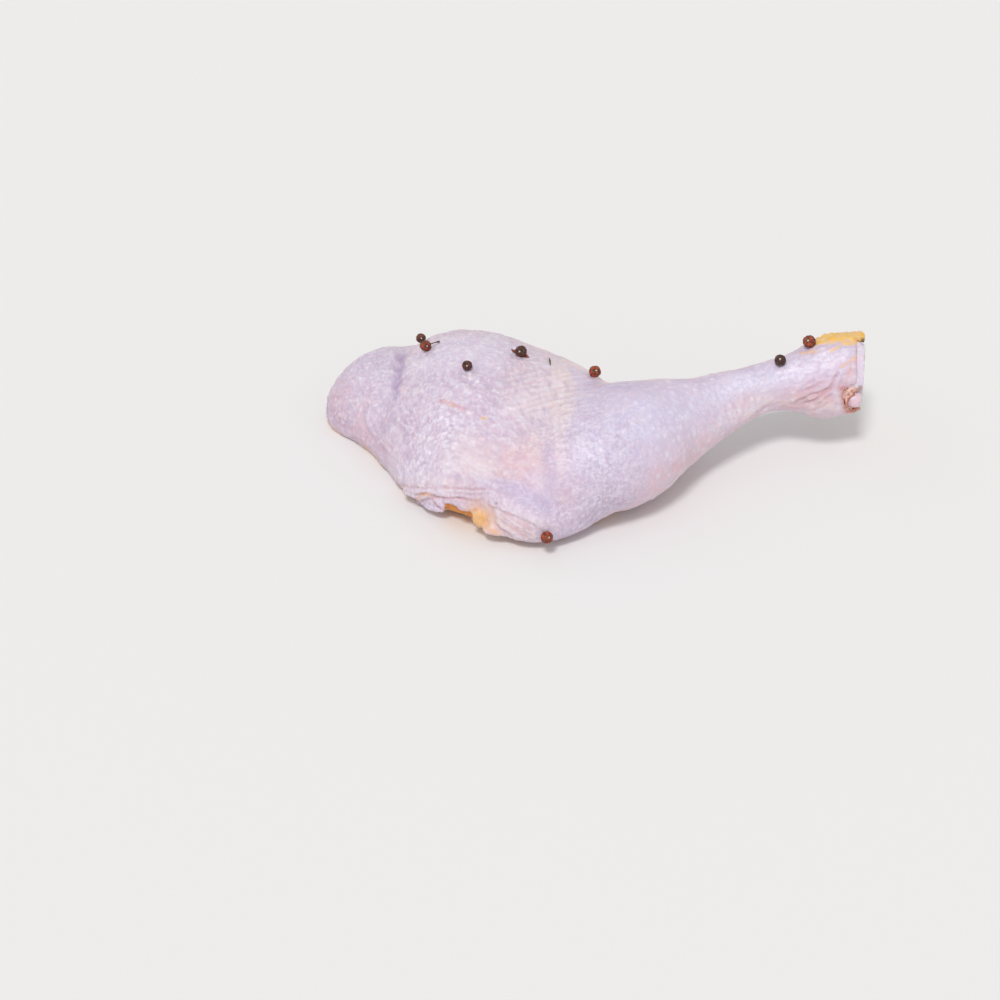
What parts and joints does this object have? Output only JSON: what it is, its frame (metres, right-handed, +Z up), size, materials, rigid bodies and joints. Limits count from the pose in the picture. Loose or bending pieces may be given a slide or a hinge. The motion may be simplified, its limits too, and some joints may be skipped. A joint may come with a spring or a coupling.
{
  "type": "raw chicken leg quarter",
  "caption": "Raw skin-on poultry leg lying on its side: domed thigh, bent knee and a drumstick that tapers to a hock cut through bone.",
  "frame": {"origin": "middle of the bounding box, on the surface that the leg lies on", "axes": "+X from the thigh towards the cut hock, +Z up out of the skin side, +Y towards the back, so the knee points to -Y"},
  "size_m": [0.2164, 0.1244, 0.0478],
  "materials": {
    "skin": "moist raw chicken skin, pale pinkish lavender with cream and pink patches",
    "bone": "cut spongy bone, orange red, ringed with white cartilage"
  },
  "bodies": {
    "root": {"leg_quarter": "skin", "shank_bone": "bone"}
  },
  "joints": []
}
